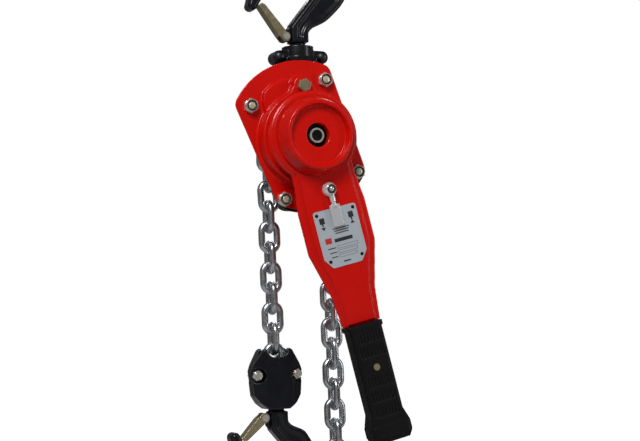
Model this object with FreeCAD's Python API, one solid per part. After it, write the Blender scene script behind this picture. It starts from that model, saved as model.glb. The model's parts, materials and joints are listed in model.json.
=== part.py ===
"""Lever chain hoist: every piece as its own solid, in millimetres, +Z up.

The working frame has its origin on the load sheave's axis, with the lever side towards -Y.
Every finished piece is moved at the end so that the top hook's saddle is the origin.
"""
import FreeCAD, Part
import math
import os

Vec = FreeCAD.Vector
X_AXIS, Y_AXIS, Z_AXIS = Vec(1, 0, 0), Vec(0, 1, 0), Vec(0, 0, 1)

# ---- driving dimensions -------------------------------------------------------------------
# load chain and pocket wheel
WIRE = 8.0
PITCH = 24.0
LINK_PLAY = 0.3
LINK_HALF_GAUGE = 9.5
POCKETS = 5
RUN_X = 2 * POCKETS * PITCH / (2 * math.pi)
FIRST_POCKET_DEG = 168.7
FLAT_LINK_R = 35.48
UPRIGHT_LINK_R = 38.57
LOAD_LINK_1_Z = -64.8
LOAD_LINKS = 9
FIXED_LOAD_LINKS = 4
TOP_LOAD_LINKS = {-1: (-37.0, -2.5), 0: (-36.3, 0.0), 1: (-37.3, 2.2)}
TAIL_X = 35.6
TAIL_DRIFT = 0.3
TAIL_TOP_X = 38.3
TAIL_FIRST_X = 39.0
TAIL_TOP_Z = -31.35
TAIL_SLACK_PITCH = 22.0
TAIL_SLACK_LINKS = 10
TAIL_LINKS = 19
TAIL_FIXED_LINKS = 5

# how the frame and the lever lean, up-axis towards -X
FRAME_LEAN = 18.6
LEVER_LEAN = 12.9

# stations along Y
PLATE_IN, PLATE_OUT = 21.0, 27.0
COVER_FLANGE = 29.0
COVER_STEP = 44.5
COVER_FRONT = 49.5
LEVER_BACK, LEVER_SEAM, LEVER_FACE = 50.5, 60.0, 65.0
WHEEL_BACK, WHEEL_DISC, WHEEL_LIP = 66.5, 76.0, 84.0
COIL_PITCH = 0.85
PAWL_COIL_R, LATCH_COIL_R = 4.2, 4.2
SHEET = 2.0

# frame plates
PLATE_LEFT, PLATE_RIGHT, PLATE_TAPER = -62.8, 61.6, 0.068
PLATE_TALL = 100.0
REAR_PLATE_LEFT = ((-41.0, -PLATE_TALL), (-41.0, 60.0), (-26.0, PLATE_TALL))
FRONT_PLATE_INSET = 3.4
PLATE_CORNER_R = 13.0
PLATE_TOP_R, PLATE_BOTTOM_R = 94.5, 84.0
FRONT_PLATE_BOTTOM_R, REAR_PLATE_BOTTOM_R = 86.2, 81.0
REAR_PLATE_TOP_R = 87.0
STAY_U, STAY_V, STAY_R = 49.5, 58.0, 5.0
REAR_STAY = (-29.0, 68.0)
PIN_X, PIN_Z, PIN_R = 6.9, 75.0, 8.0
RUNNING_FIT = 0.05

# gear train
MODULE = 2.25
PINION_TEETH, DISC_TEETH, SMALL_TEETH, LOAD_TEETH = 10, 24, 9, 25
GEAR_CENTRES = (PINION_TEETH + DISC_TEETH) / 2 * MODULE
LOAD_GEAR_Y = (28.6, 36.4)
DISC_GEAR_Y = (38.2, 45.8)
GEAR_COVER_BACK = 56.0
GEAR_COVER_R = 33.5

# lever and grip
LEVER_HEAD_R = 54.0
GRIP_TOP_V, GRIP_END_V = -225.0, -365.0
GRIP_Y = (-72.5, -47.5)
SELECTOR_V = -64.0
SELECTOR_SHAFT_R, KNOB_R, HORN_DEG = 5.0, 8.6, 32.0
GRIP_ROWS, GRIP_ROW_PITCH, GRIP_SLOTS, GRIP_SLOT_PITCH = 6, 17.5, 8, 4.0
GRIP_SCREW_V = -277.0
WHEEL_NOTCHES = 12

# hooks, measured from the latch pivot's height
HOOK_THICK = 22.0
BOWL_R, BOWL_W = 27.0, 69.0
LATCH_PIVOT_U, NOSE_R = -16.4, 6.1
HOOK_AXIS_X = 6.9
TOP_PIVOT_Z = 126.0
TOP_COLLAR_Z = 114.5
BOTTOM_PIVOT_Z = -324.8
BLOCK_Z = (-315.0, -241.0)
BLOCK_BOLT_U, BLOCK_BOLT_Z = 24.5, -275.0
CHAIN_PIN_R = 5.2
BLOCK_BOLT_R = 3.2
BLOCK_SWING_DEG = 20.0
BOTTOM_HEAD_Z = (-299.0, -291.0)
LATCH_HALF, LATCH_EYE_R, LATCH_PIN_R = 3.5, 5.6, 2.5

SADDLE = Vec(HOOK_AXIS_X, 0, TOP_PIVOT_Z + BOWL_W + BOWL_R)

parts = {}


# ---- small helpers ------------------------------------------------------------------------
def keep(name, *shapes):
    """Store one node, a single solid or a group of separate ones."""
    moved = []
    for shape in shapes:
        for solid in shape.removeSplitter().Solids:
            solid = solid.copy()
            solid.translate(SADDLE * -1)
            moved.append(solid)
    parts[name] = moved[0] if len(moved) == 1 else Part.makeCompound(moved)


def rod(r, y0, y1, x=0.0, z=0.0):
    """A cylinder along Y."""
    return Part.makeCylinder(r, y1 - y0, Vec(x, y0, z), Y_AXIS)


def tube(outer, inner, y0, y1, x=0.0, z=0.0):
    return rod(outer, y0, y1, x, z).cut(rod(inner, y0 - 1, y1 + 1, x, z))


def cone(r0, r1, y0, y1, x=0.0, z=0.0):
    return Part.makeCone(r0, r1, y1 - y0, Vec(x, y0, z), Y_AXIS)


def box(x0, x1, y0, y1, z0, z1):
    return Part.makeBox(x1 - x0, y1 - y0, z1 - z0, Vec(x0, y0, z0))


def prism(points, y0, y1):
    """A polygon in the XZ plane, thick along Y."""
    corners = [Vec(x, y0, z) for x, z in points]
    return Part.Face(Part.makePolygon(corners + corners[:1])).extrude(Vec(0, y1 - y0, 0))


def fuse(*shapes):
    return shapes[0].fuse(list(shapes[1:])).removeSplitter()


def cut(shape, *tools):
    return shape.cut(list(tools))


def lean(shape, degrees):
    """Turn a piece about the sheave axis so that its up-axis leans towards -X."""
    turned = shape.copy()
    turned.rotate(Vec(0, 0, 0), Y_AXIS, -degrees)
    return turned


def leaned(u, v, degrees):
    """Working-frame x and z of a point given in a leaned frame."""
    a = math.radians(degrees)
    return u * math.cos(a) - v * math.sin(a), u * math.sin(a) + v * math.cos(a)


def in_frame(x, z):
    """Leaned-frame u and v of a working-frame point."""
    return leaned(x, z, -FRAME_LEAN)


def long_edges(shape, length, axis=Y_AXIS):
    """Straight edges along an axis with about this length."""
    found = []
    for edge in shape.Edges:
        if len(edge.Vertexes) != 2 or abs(edge.Length - length) > 0.01:
            continue
        run = edge.Vertexes[1].Point - edge.Vertexes[0].Point
        if abs(abs(run.normalize().dot(axis)) - 1) < 1e-6:
            found.append(edge)
    return found


def face_edges(shape, y):
    """Edges that lie wholly at one Y station."""
    return [e for e in shape.Edges if abs(e.BoundBox.YMin - y) < 1e-4 and abs(e.BoundBox.YMax - y) < 1e-4]


def hexagon(across_flats, y0, y1, x, z, turn=0.0):
    r = across_flats / math.sqrt(3)
    points = []
    for i in range(6):
        a = math.radians(60 * i + turn)
        points.append((x + r * math.cos(a), z + r * math.sin(a)))
    return prism(points, y0, y1)


# ---- chain --------------------------------------------------------------------------------
LINK_HALF_LEG = (PITCH + LINK_PLAY) / 2 + WIRE / 2 - LINK_HALF_GAUGE


def link(upright=True):
    """One chain link about the origin, long along Z; upright lies in the XZ plane."""
    r, leg = LINK_HALF_GAUGE, LINK_HALF_LEG
    path = Part.Wire([
        Part.LineSegment(Vec(-r, 0, -leg), Vec(-r, 0, leg)).toShape(),
        Part.Arc(Vec(-r, 0, leg), Vec(0, 0, leg + r), Vec(r, 0, leg)).toShape(),
        Part.LineSegment(Vec(r, 0, leg), Vec(r, 0, -leg)).toShape(),
        Part.Arc(Vec(r, 0, -leg), Vec(0, 0, -leg - r), Vec(-r, 0, -leg)).toShape(),
    ])
    section = Part.Wire([Part.makeCircle(WIRE / 2, Vec(-r, 0, -leg), Z_AXIS)])
    shape = path.makePipeShell([section], True, True)
    if not upright:
        shape.rotate(Vec(0, 0, 0), Z_AXIS, 90)
    return shape


def link_at(x, z, upright, turn=0.0):
    """A link with its centre at x, z, turned in the XZ plane away from vertical."""
    shape = link(upright)
    shape.rotate(Vec(0, 0, 0), Y_AXIS, -turn)
    shape.translate(Vec(x, 0, z))
    return shape


def wrapped_links():
    """The six links that lie over the pocket wheel."""
    step = 180 / POCKETS
    shapes = []
    for i in range(POCKETS + 1):
        upright = i % 2 == 1
        angle = FIRST_POCKET_DEG - i * step
        r = UPRIGHT_LINK_R if upright else FLAT_LINK_R
        x, z = r * math.cos(math.radians(angle)), r * math.sin(math.radians(angle))
        shapes.append(link_at(x, z, upright, angle))
    return shapes


def load_link_z(number):
    return LOAD_LINK_1_Z - (number - 1) * PITCH


def load_link(number):
    """A link of the load run; the uppermost ones are drawn in towards the wheel."""
    x, turn = TOP_LOAD_LINKS.get(number, (-RUN_X, 0.0))
    return link_at(x, load_link_z(number), number % 2 == 1, turn)


def tail_link_place(number):
    if number == 1:
        return TAIL_FIRST_X, TAIL_TOP_Z
    slack = min(number, TAIL_SLACK_LINKS) - 1
    taut = max(number - TAIL_SLACK_LINKS, 0)
    x = max(TAIL_TOP_X - TAIL_DRIFT * slack, TAIL_X)
    return x, TAIL_TOP_Z - slack * TAIL_SLACK_PITCH - taut * PITCH


def tail_link(number):
    x, z = tail_link_place(number)
    return link_at(x, z, number % 2 == 0)


def chain_nodes():
    over = wrapped_links()
    over += [load_link(n) for n in range(-1, FIXED_LOAD_LINKS + 1)]
    over.append(tail_link(1))
    keep("chain_over_sheave", *over)
    keep("load_chain_run", *[load_link(n) for n in range(FIXED_LOAD_LINKS + 1, LOAD_LINKS - 1)])
    for n in (LOAD_LINKS - 1, LOAD_LINKS):
        keep("load_chain_link_%d" % n, load_link(n))
    keep("tail_chain_upper", *[tail_link(n) for n in range(2, TAIL_FIXED_LINKS + 1)])
    keep("tail_chain_lower", *[tail_link(n) for n in range(TAIL_FIXED_LINKS + 1, TAIL_LINKS + 1)])
    ring_r, ring_wire = 14.0, 3.5
    x, z = tail_link_place(TAIL_LINKS)
    ring_z = z - LINK_HALF_LEG - ring_r - 1.0
    keep("tail_end_ring", Part.makeTorus(ring_r, ring_wire, Vec(x, 0, ring_z), Y_AXIS))


# ---- pocket wheel and its bearings --------------------------------------------------------
SHEAVE_R, SHEAVE_HALF = 39.0, 19.5
BEARING_R, JOURNAL_R = 28.0, 18.0
SPLINE_R, SHAFT_R, REAR_SHAFT_R = 14.0, 8.5, 6.0
JOURNAL_DISC_R, GEAR_BOSS_Y = 5.0, (47.0, 54.0)
STUD_R, ROLLER_PIN_R, NUT_FLATS = 4.0, 3.0, 15.8
NUT_CROWN_R, NUT_SEAT_R = 7.3, 6.2
REAR_NUT = (13.0, 6.2, 5.4)


def load_sheave():
    """Pocket wheel on a hollow journal shaft; a groove takes the upright links."""
    body = fuse(
        rod(SHEAVE_R, -SHEAVE_HALF, SHEAVE_HALF),
        rod(JOURNAL_R, -PLATE_OUT, PLATE_OUT),
        rod(SPLINE_R, PLATE_OUT, LOAD_GEAR_Y[1] + 1.0),
    )
    groove_floor = UPRIGHT_LINK_R - LINK_HALF_GAUGE - WIRE / 2 - 0.7
    groove = tube(SHEAVE_R + 5, groove_floor, -WIRE / 2 - 0.7, WIRE / 2 + 0.7)
    tools = [groove, rod(SHAFT_R + RUNNING_FIT, -60, 60)]
    half_l = LINK_HALF_LEG + LINK_HALF_GAUGE + WIRE / 2 + 0.6
    half_w = LINK_HALF_GAUGE + WIRE / 2 + 0.6
    floor = FLAT_LINK_R - WIRE / 2 - 0.5
    for i in range(POCKETS):
        straight = half_l - half_w
        pocket = fuse(
            box(floor, SHEAVE_R + 5, -half_w, half_w, -straight, straight),
            Part.makeCylinder(half_w, SHEAVE_R + 5 - floor, Vec(floor, 0, straight), X_AXIS),
            Part.makeCylinder(half_w, SHEAVE_R + 5 - floor, Vec(floor, 0, -straight), X_AXIS),
        )
        tools.append(lean(pocket, FIRST_POCKET_DEG + i * 360 / POCKETS))
    return cut(body, *tools)


def sheave_nodes():
    keep("load_sheave", load_sheave())
    rings = []
    for y0, y1 in ((-PLATE_OUT, -PLATE_IN), (PLATE_IN, PLATE_OUT)):
        rings.append(tube(BEARING_R, JOURNAL_R + RUNNING_FIT, y0, y1))
    keep("sheave_bearings", *rings)


# ---- gears --------------------------------------------------------------------------------
def gear_outline(teeth, tip, root, half_tooth, y0, y1):
    """A spur gear blank with involute flanks, first tooth along +X."""
    pitch_r = MODULE * teeth / 2
    base_r = pitch_r * math.cos(math.radians(20))
    pitch_inv = math.tan(math.radians(20)) - math.radians(20)
    flank = []
    steps = 5
    start = max(base_r, root)
    for i in range(steps + 1):
        r = start + (tip - start) * i / steps
        pressure = math.acos(min(1.0, base_r / r))
        flank.append((r, half_tooth + pitch_inv - (math.tan(pressure) - pressure)))
    points = []
    for t in range(teeth):
        mid = 2 * math.pi * t / teeth
        side = [(root, flank[0][1])] + flank if start > root else flank
        for r, a in side:
            points.append((r * math.cos(mid - a), r * math.sin(mid - a)))
        for r, a in reversed(side):
            points.append((r * math.cos(mid + a), r * math.sin(mid + a)))
    return prism(points, y0, y1)


def spur_gear(teeth, y0, y1, turn_deg):
    """Stub teeth with room for backlash, so that the small pinions do not undercut."""
    pitch_r = MODULE * teeth / 2
    backlash = 0.35
    half_tooth = (math.pi * MODULE / 2 - backlash) / 2 / pitch_r
    gear = gear_outline(teeth, pitch_r + 0.75 * MODULE, pitch_r - 1.1 * MODULE, half_tooth, y0, y1)
    gear.rotate(Vec(0, 0, 0), Y_AXIS, -turn_deg)
    return gear


def disc_gear(side):
    """One reduction gear: wheel, small pinion and journals, above or below the axis."""
    facing = 270 if side > 0 else 90
    small_phase = 180 / SMALL_TEETH if side > 0 else 0.0
    wheel = spur_gear(DISC_TEETH, *DISC_GEAR_Y, facing + 180 / DISC_TEETH)
    small = spur_gear(SMALL_TEETH, *LOAD_GEAR_Y, facing + small_phase)
    neck = rod(7.0, LOAD_GEAR_Y[1], DISC_GEAR_Y[0])
    front_journal = rod(JOURNAL_DISC_R, PLATE_IN + 0.5, LOAD_GEAR_Y[0])
    rear_journal = rod(JOURNAL_DISC_R, DISC_GEAR_Y[1], GEAR_BOSS_Y[1] - 1.0)
    shape = fuse(wheel, small, neck, front_journal, rear_journal)
    shape.translate(Vec(0, 0, side * GEAR_CENTRES))
    return lean(shape, FRAME_LEAN)


def gear_nodes():
    load_gear = cut(spur_gear(LOAD_TEETH, *LOAD_GEAR_Y, 90), rod(SPLINE_R, 0, 60))
    keep("load_gear", lean(load_gear, FRAME_LEAN))
    keep("upper_disc_gear", disc_gear(1))
    keep("lower_disc_gear", disc_gear(-1))


# ---- drive shaft and load brake -----------------------------------------------------------
HUB_FLANGE_Y = (-30.5, -27.6)
REAR_LINING_Y = (-32.4, -30.6)
RATCHET_Y = (-35.5, -32.5)
FRONT_LINING_Y = (-37.4, -35.6)
CHANGE_FLANGE_Y = (-40.3, -37.5)
CHANGE_TEETH_Y = (-61.8, -56.2)
CHANGE_BOSS_END = -67.0
LINING_R, HUB_SLEEVE_R = (17.0, 33.0), 16.0
RATCHET_TEETH, RATCHET_R, RATCHET_ROOT = 16, 40.0, 36.5
CHANGE_TEETH, CHANGE_R, CHANGE_ROOT = 18, 32.0, 28.5
CHANGE_NECK_R, WHEEL_BORE_R = 20.0, 13.95
NUT_R, SHAFT_END_R = 8.7, 6.5
PAWL_PIVOT_R, PAWL_PIN_R = 48.5, 3.0
PAWL_FIRST_DEG = (0.0, 180.0)
PAWL_REACH_DEG = 28.0


def polar(r, degrees):
    return r * math.cos(math.radians(degrees)), r * math.sin(math.radians(degrees))


def drive_shaft():
    """Pinion shaft through the hollow sheave, threaded at the lever end."""
    pinion = lean(spur_gear(PINION_TEETH, *DISC_GEAR_Y, 180 / PINION_TEETH), FRAME_LEAN)
    return fuse(
        rod(SHAFT_R, CHANGE_BOSS_END, DISC_GEAR_Y[0]),
        pinion,
        rod(REAR_SHAFT_R, DISC_GEAR_Y[1], GEAR_BOSS_Y[1] - 1.0),
        rod(SHAFT_END_R, CHANGE_BOSS_END - 4.4, CHANGE_BOSS_END),
    )


def change_gear():
    """Threaded pressure plate whose toothed rim is turned by the lever's pawl."""
    points = []
    for i in range(CHANGE_TEETH):
        a = 360 / CHANGE_TEETH * i
        for r, share in ((CHANGE_ROOT, 0.08), (CHANGE_R, 0.28), (CHANGE_R, 0.72), (CHANGE_ROOT, 0.92)):
            points.append(polar(r, a + share * 360 / CHANGE_TEETH))
    shape = fuse(
        rod(LINING_R[1], *CHANGE_FLANGE_Y),
        rod(CHANGE_NECK_R, CHANGE_TEETH_Y[1], CHANGE_FLANGE_Y[0]),
        prism(points, *CHANGE_TEETH_Y),
        rod(WHEEL_BORE_R - RUNNING_FIT, CHANGE_BOSS_END, CHANGE_TEETH_Y[0]),
    )
    return cut(shape, rod(SHAFT_R, -80, 0))


def ratchet_disc():
    points = []
    for i in range(RATCHET_TEETH):
        a = 360 / RATCHET_TEETH * i
        points.append(polar(RATCHET_R, a))
        points.append(polar(RATCHET_ROOT, a + 0.01))
    shape = prism(points, *RATCHET_Y)
    return lean(cut(shape, rod(HUB_SLEEVE_R + 0.1, -60, 0)), FRAME_LEAN)


def ratchet_pawl(first_deg):
    """A strut pawl: its nose sits against one ratchet tooth, its eye on a pin."""
    corners = ((37.3, 1.4), (41.8, 1.4), (47.5, 11), (53.2, 24), (44.0, 25))
    body = prism([polar(r, first_deg + a) for r, a in corners], RATCHET_Y[0] + 0.2, RATCHET_Y[1] + 0.2)
    x, z = polar(PAWL_PIVOT_R, first_deg + PAWL_REACH_DEG)
    eye = rod(5.5, RATCHET_Y[0] + 0.2, RATCHET_Y[1] + 0.2, x, z)
    shape = cut(fuse(body, eye), rod(PAWL_PIN_R + RUNNING_FIT, -40, -20, x, z))
    return lean(shape, FRAME_LEAN)


def coil_spring(radius, wire, coils, start):
    """A closed coil spring, its turns of wire side by side along Y."""
    pitch = COIL_PITCH * wire
    turns = [Part.makeTorus(radius, wire / 2, start + Vec(0, i * pitch, 0), Y_AXIS) for i in range(coils)]
    return fuse(*turns)


def brake_nodes():
    keep("drive_shaft", drive_shaft())
    flange = rod(LINING_R[1] + 1.0, *HUB_FLANGE_Y)
    sleeve = rod(HUB_SLEEVE_R, FRONT_LINING_Y[0], HUB_FLANGE_Y[0])
    keep("friction_hub", cut(fuse(flange, sleeve), rod(SHAFT_R, -60, 0)))
    linings = [tube(LINING_R[1], LINING_R[0], *station) for station in (REAR_LINING_Y, FRONT_LINING_Y)]
    keep("friction_linings", *linings)
    keep("ratchet_disc", ratchet_disc())
    keep("change_gear", change_gear())
    pins, springs = [], []
    for name, first in zip(("ratchet_pawl_right", "ratchet_pawl_left"), PAWL_FIRST_DEG):
        keep(name, ratchet_pawl(first))
        x, z = polar(PAWL_PIVOT_R, first + PAWL_REACH_DEG)
        pins.append(lean(rod(PAWL_PIN_R, -35.8, -PLATE_IN - 1.0, x, z), FRAME_LEAN))
        springs.append(lean(coil_spring(PAWL_COIL_R, 1.0, 5, Vec(x, -31.6, z)), FRAME_LEAN))
    for side in (-1, 1):
        pins.append(rod(ROLLER_PIN_R, -PLATE_OUT, PLATE_OUT, side * GUIDE_ROLLER_X, LOWER_STAY_Z))
    keep("plate_pins", *pins)
    keep("ratchet_pawl_springs", *springs)
    ring = tube(NUT_R, SHAFT_END_R, CHANGE_BOSS_END - 5.0, CHANGE_BOSS_END)
    keep("shaft_nut", ring)


# ---- frame: plates, covers, stays ---------------------------------------------------------
BRAKE_BOLT_U, BRAKE_BOLT_V = 16.0, 59.8
BRAKE_BOLT_SEAT, BRAKE_BOLT_HEAD = -44.5, 5.2
BRAKE_BOLT_FLATS = 14.0
COLLAR_R = (28.0, 30.0)
LOWER_STAY_Z, GUIDE_ROLLER_X, GUIDE_ROLLER_R = -62.0, 16.6, 5.4


FRONT_CORNERS = [(-STAY_U, STAY_V), (-STAY_U, -STAY_V)]
THROUGH_CORNERS = [(STAY_U, STAY_V), (STAY_U, -STAY_V)]


def plate_blank(top_r, bottom_r, y0, y1, left):
    """The rounded plate outline in the leaned frame; left holds its left side from foot to head."""
    top = rod(top_r, y0, y1).common(box(-PLATE_TALL, PLATE_TALL, y0, y1, 0, PLATE_TALL))
    low = rod(bottom_r, y0, y1).common(box(-PLATE_TALL, PLATE_TALL, y0, y1, -PLATE_TALL, 0))
    sides = prism((*left, (PLATE_RIGHT, PLATE_TALL), (PLATE_RIGHT, -PLATE_TALL)), y0, y1)
    blank = fuse(top, low).common(sides).removeSplitter()
    corners = [e for e in long_edges(blank, y1 - y0) if abs(e.Vertexes[0].Point.z) > 20]
    return blank.makeFillet(PLATE_CORNER_R, corners)


def front_left(inset):
    """The left side of the front plate and cover, which draws in towards the foot."""
    spread = PLATE_TAPER * PLATE_TALL
    return (PLATE_LEFT + inset + spread, -PLATE_TALL), (PLATE_LEFT + inset - spread, PLATE_TALL)


def plate_holes(y0, y1, stays):
    """The tools for a plate's bearing, stay, yoke pin and roller pin holes."""
    tools = [rod(BEARING_R, y0 - 1, y1 + 1)]
    for u, v in stays:
        tools.append(rod(STAY_R, y0 - 1, y1 + 1, u, v))
    u, v = in_frame(PIN_X, PIN_Z)
    tools.append(rod(PIN_R, y0 - 1, y1 + 1, u, v))
    for x, r in ((0.0, STAY_R), (-GUIDE_ROLLER_X, ROLLER_PIN_R), (GUIDE_ROLLER_X, ROLLER_PIN_R)):
        u, v = in_frame(x, LOWER_STAY_Z)
        tools.append(rod(r, y0 - 1, y1 + 1, u, v))
    return tools


def plate_nodes():
    station = (-PLATE_OUT, -PLATE_IN)
    left = front_left(FRONT_PLATE_INSET)
    shape = plate_blank(PLATE_TOP_R - FRONT_PLATE_INSET, FRONT_PLATE_BOTTOM_R, *station, left)
    tools = plate_holes(*station, THROUGH_CORNERS)
    for u, v in FRONT_CORNERS:
        tools.append(rod(STUD_R, -PLATE_OUT - 1, -PLATE_IN + 1, u, v))
    for first in PAWL_FIRST_DEG:
        x, z = polar(PAWL_PIVOT_R, first + PAWL_REACH_DEG)
        tools.append(rod(PAWL_PIN_R, -PLATE_OUT - 1, -PLATE_IN - 1.0, x, z))
    keep("lever_side_plate", lean(cut(shape, *tools), FRAME_LEAN))
    shape = plate_blank(REAR_PLATE_TOP_R, REAR_PLATE_BOTTOM_R, PLATE_IN, PLATE_OUT, REAR_PLATE_LEFT)
    tools = plate_holes(PLATE_IN, PLATE_OUT, THROUGH_CORNERS + [REAR_STAY])
    for side in (-1, 1):
        tools.append(rod(JOURNAL_DISC_R + RUNNING_FIT, 0, 40, 0, side * GEAR_CENTRES))
    keep("gear_side_plate", lean(cut(shape, *tools), FRAME_LEAN))


def brake_cover():
    """Pressed cover: flange, stepped round bulge, bolt boss and corner swelling."""
    flange = plate_blank(PLATE_TOP_R, PLATE_BOTTOM_R, -COVER_FLANGE, -PLATE_OUT, front_left(0.0))
    low = cone(55.5, 58, -COVER_STEP, -COVER_FLANGE)
    high = cone(47, 49, -COVER_FRONT, -COVER_STEP)
    low_inside = cone(53.5, 56, -COVER_STEP + SHEET, -PLATE_OUT + 1)
    high_inside = cone(45, 47, -COVER_FRONT + SHEET, -COVER_STEP + SHEET)
    boss_side = ((44, 36), (50, 25), (56, 16), (62, 12.6))
    at = math.degrees(math.atan2(BRAKE_BOLT_V, BRAKE_BOLT_U))
    outline = [(r, -t) for r, t in boss_side] + [(r, t) for r, t in reversed(boss_side)]
    boss = fuse(
        lean(prism(outline, BRAKE_BOLT_SEAT, -COVER_FLANGE), at),
        cone(12.0, 13.5, BRAKE_BOLT_SEAT, -COVER_FLANGE, BRAKE_BOLT_U, BRAKE_BOLT_V),
    )
    hump = ((4, 74.5), (-17, 73.5), (-29, 68), (-34.5, 58), (-36, 44), (0, 44))
    swelling = prism(hump, -35, -COVER_FLANGE)
    collar = rod(COLLAR_R[1], -COVER_FRONT - 5.0, -COVER_FRONT)
    shape = fuse(flange, low, high, boss, swelling, collar)
    tools = [low_inside, high_inside, rod(COLLAR_R[0], -60, -20)]
    for u, v in FRONT_CORNERS + THROUGH_CORNERS:
        tools.append(rod(STUD_R, -40, -20, u, v))
    tools.append(rod(STUD_R, -60, -20, BRAKE_BOLT_U, BRAKE_BOLT_V))
    return lean(cut(shape, *tools), FRAME_LEAN)


def stadium(r, half, y0, y1):
    """Two round ends above and below the axis, joined by a straight body."""
    return fuse(box(-r, r, y0, y1, -half, half), rod(r, y0, y1, 0, half), rod(r, y0, y1, 0, -half))


def gear_cover():
    """Pressed rear cover over the gear train, with three bearing bosses inside."""
    station = (PLATE_OUT, COVER_FLANGE)
    flange = plate_blank(REAR_PLATE_TOP_R, REAR_PLATE_BOTTOM_R, *station, REAR_PLATE_LEFT)
    outer = stadium(GEAR_COVER_R, GEAR_CENTRES, PLATE_OUT, GEAR_COVER_BACK)
    outer = outer.makeFillet(6.0, face_edges(outer, GEAR_COVER_BACK))
    inner = stadium(GEAR_COVER_R - SHEET, GEAR_CENTRES, PLATE_OUT - 1, GEAR_COVER_BACK - SHEET)
    inner = inner.makeFillet(4.0, face_edges(inner, GEAR_COVER_BACK - SHEET))
    shape = cut(fuse(flange, outer), inner)
    bosses, bores = [], []
    for v, r in ((0.0, REAR_SHAFT_R), (GEAR_CENTRES, JOURNAL_DISC_R), (-GEAR_CENTRES, JOURNAL_DISC_R)):
        bosses.append(rod(r + 3.5, GEAR_BOSS_Y[0], GEAR_COVER_BACK - SHEET, 0, v))
        bores.append(rod(r + RUNNING_FIT, GEAR_BOSS_Y[0] - 1, GEAR_BOSS_Y[1], 0, v))
    for u, v in THROUGH_CORNERS + [REAR_STAY]:
        bores.append(rod(STUD_R, 20, 40, u, v))
    return lean(cut(fuse(shape, *bosses), *bores), FRAME_LEAN)


def lock_nut(u, v, side, flats=NUT_FLATS, crown_r=NUT_CROWN_R, seat_r=NUT_SEAT_R):
    """A hexagon nut whose round crown has a seat for a nylon ring."""
    spans = []
    for near, far in ((0.0, 5.0), (5.0, 8.0), (6.5, 9.0)):
        spans.append(sorted((side * (COVER_FLANGE + near), side * (COVER_FLANGE + far))))
    body, crown, seat = spans
    nut = fuse(hexagon(flats, *body, u, v, 15), rod(crown_r, *crown, u, v))
    return lean(cut(nut, rod(STUD_R, -60, 60, u, v), tube(seat_r, STUD_R, *seat, u, v)), FRAME_LEAN)


def frame_fastener_nodes():
    end = COVER_FLANGE + 7.4
    stays = [rod(STAY_R, -PLATE_OUT, PLATE_OUT, 0, LOWER_STAY_Z)]
    studs, nuts = [], []
    for u, v in THROUGH_CORNERS:
        stay = fuse(rod(STAY_R, -PLATE_OUT, PLATE_OUT, u, v), rod(STUD_R, -end, end, u, v))
        stays.append(lean(stay, FRAME_LEAN))
        nuts += [lock_nut(u, v, -1), lock_nut(u, v, 1)]
    u, v = REAR_STAY
    stay = fuse(rod(STAY_R, -PLATE_IN, PLATE_OUT, u, v), rod(STUD_R, PLATE_OUT, end, u, v))
    stays.append(lean(stay, FRAME_LEAN))
    nuts.append(lock_nut(u, v, 1, *REAR_NUT))
    for u, v in FRONT_CORNERS:
        studs.append(lean(rod(STUD_R, -end, -PLATE_IN, u, v), FRAME_LEAN))
        nuts.append(lock_nut(u, v, -1))
    keep("stay_bolts", *stays)
    keep("cover_studs", *studs)
    keep("frame_lock_nuts", *nuts)
    head_y = (BRAKE_BOLT_SEAT - BRAKE_BOLT_HEAD, BRAKE_BOLT_SEAT)
    head = hexagon(BRAKE_BOLT_FLATS, *head_y, BRAKE_BOLT_U, BRAKE_BOLT_V)
    bolt = fuse(head, rod(STUD_R, BRAKE_BOLT_SEAT, -PLATE_OUT, BRAKE_BOLT_U, BRAKE_BOLT_V))
    keep("brake_cover_bolt", lean(bolt, FRAME_LEAN))


def chain_guide_nodes():
    for name, side in (("load_side_guide_roller", -1), ("tail_side_guide_roller", 1)):
        x = side * GUIDE_ROLLER_X
        keep(name, tube(GUIDE_ROLLER_R, ROLLER_PIN_R + RUNNING_FIT, -18, 18, x, LOWER_STAY_Z))
    finger = prism(((-7.5, -68), (-7.5, -46), (-3, -27), (3, -27), (7.5, -46), (7.5, -68)), -4.2, 4.2)
    keep("chain_stripper", cut(finger, rod(STAY_R, -30, 30, 0, LOWER_STAY_Z)))


def frame_nodes():
    plate_nodes()
    keep("brake_cover", brake_cover())
    keep("gear_cover", gear_cover())
    frame_fastener_nodes()
    chain_guide_nodes()
    keep("yoke_pin", rod(PIN_R, -PLATE_OUT, PLATE_OUT, PIN_X, PIN_Z))


# ---- lever --------------------------------------------------------------------------------
LEVER_SIDE = ((38.5, -24.0), (39.0, -54.0), (42.8, -84.0), (42.8, -133.0), (27.9, -187.0), (23.9, -225.0))
FACE_SIDE = ((32.7, -24.0), (32.2, -54.0), (33.7, -84.0), (33.7, -131.0), (20.2, -183.0), (16.8, -223.0))
TANG_HALF, TANG_END_V = 12.0, -320.0
LEVER_HOLE_R = 20.5
PLATE_HALF, PLATE_TOP_V, PLATE_END_V = 27.4, -86.0, -154.0
NAME_PLATE_THICK = 0.8


def mirrored(side):
    """A closed outline from its right-hand side, listed from the top down."""
    return list(side) + [(-u, v) for u, v in reversed(side)]


def lever_outline(side, head_r, y0, y1, inset=0.0):
    arm = [(u - inset, v) for u, v in side]
    arm[-1] = (arm[-1][0], arm[-1][1] + inset)
    return fuse(rod(head_r - inset, y0, y1), prism(mirrored(arm), y0, y1))


def tang(y0, y1):
    return box(-TANG_HALF, TANG_HALF, y0, y1, TANG_END_V, LEVER_SIDE[-1][1] + 1.0)


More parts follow.
